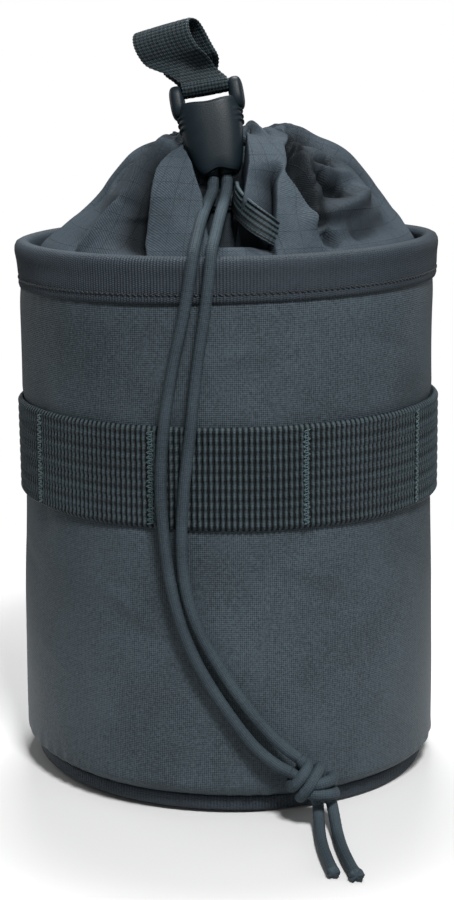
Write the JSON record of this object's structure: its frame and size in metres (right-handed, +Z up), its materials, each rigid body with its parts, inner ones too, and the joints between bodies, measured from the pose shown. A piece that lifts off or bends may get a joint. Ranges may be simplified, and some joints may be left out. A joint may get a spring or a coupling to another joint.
{
  "type": "drawstring pouch",
  "caption": "Padded round pouch with a webbing band, a gathered collar, an elastic draw cord knotted at its tails, and a tapered cord lock with a pull tab.",
  "frame": {"origin": "centre of the base, on the surface that the pouch stands on", "axes": "+Z up along the body's axis towards the gathered collar, -Y towards the front where the cord tails hang, +X to the right seen from the front"},
  "size_m": [0.1102, 0.1488, 0.1943],
  "materials": {
    "shell_cloth": "coated nylon twill, dark grey-green, faint sheen",
    "collar_cloth": "light ripstop nylon, dark blue-grey, soft sheen",
    "lining_cloth": "thin plain-woven nylon",
    "foam": "closed-cell foam padding, matte",
    "binding_tape": "ribbed grosgrain tape",
    "webbing": "ribbed nylon webbing",
    "thread": "bonded sewing thread",
    "cord": "braided sheath over elastic core",
    "lock_plastic": "satin moulded acetal",
    "spring_steel": "small coil spring, plain wire"
  },
  "bodies": {
    "root": {"outer_shell": "shell_cloth", "foam_sleeve": "foam", "lining_tube": "lining_cloth", "rim_binding": "binding_tape", "webbing_band": "webbing", "bar_tack_1": "thread", "bar_tack_2": "thread", "bar_tack_3": "thread", "bar_tack_4": "thread", "bar_tack_5": "thread", "bar_tack_6": "thread", "bar_tack_7": "thread", "bar_tack_8": "thread", "bar_tack_9": "thread", "base_panel": "shell_cloth", "base_foam": "foam", "base_lining": "lining_cloth", "base_binding": "binding_tape", "back_seam_tape": "binding_tape", "collar": "collar_cloth", "collar_hem": "collar_cloth", "drawcord": "cord", "cord_tail_left": "cord", "cord_tail_right": "cord", "cord_knot": "cord", "cord_end_left": "cord", "cord_end_right": "cord", "tether_strap": "webbing"},
    "cord_lock": {"lock_housing": "lock_plastic", "lock_spring": "spring_steel", "strand_in_lock_left": "cord", "strand_in_lock_right": "cord"},
    "jaw": {"lock_jaw": "lock_plastic"},
    "tab": {"pull_tab": "webbing"}
  },
  "joints": [
    {"name": "lock_tilt", "type": "hinge", "parent": "root", "child": "cord_lock", "pos_m": [-0.00119, -0.02675, 0.15333], "axis": [0.9848, 0, 0.1736], "range_deg": [0, 60], "deforming": ["drawcord", "tether_strap"]},
    {"name": "jaw_slide", "type": "slide", "parent": "cord_lock", "child": "jaw", "axis": [-0.1632, 0.342, 0.9254], "range_m": [0, 0.0026], "stiffness_N_per_m": 200, "springref_m": -0.004, "deforming": ["lock_spring"]},
    {"name": "tab_pivot", "type": "hinge", "parent": "cord_lock", "child": "tab", "pos_m": [-0.00546, -0.0194, 0.17752], "axis": [0.9848, 0, 0.1736], "range_deg": [-30, 30]}
  ]
}
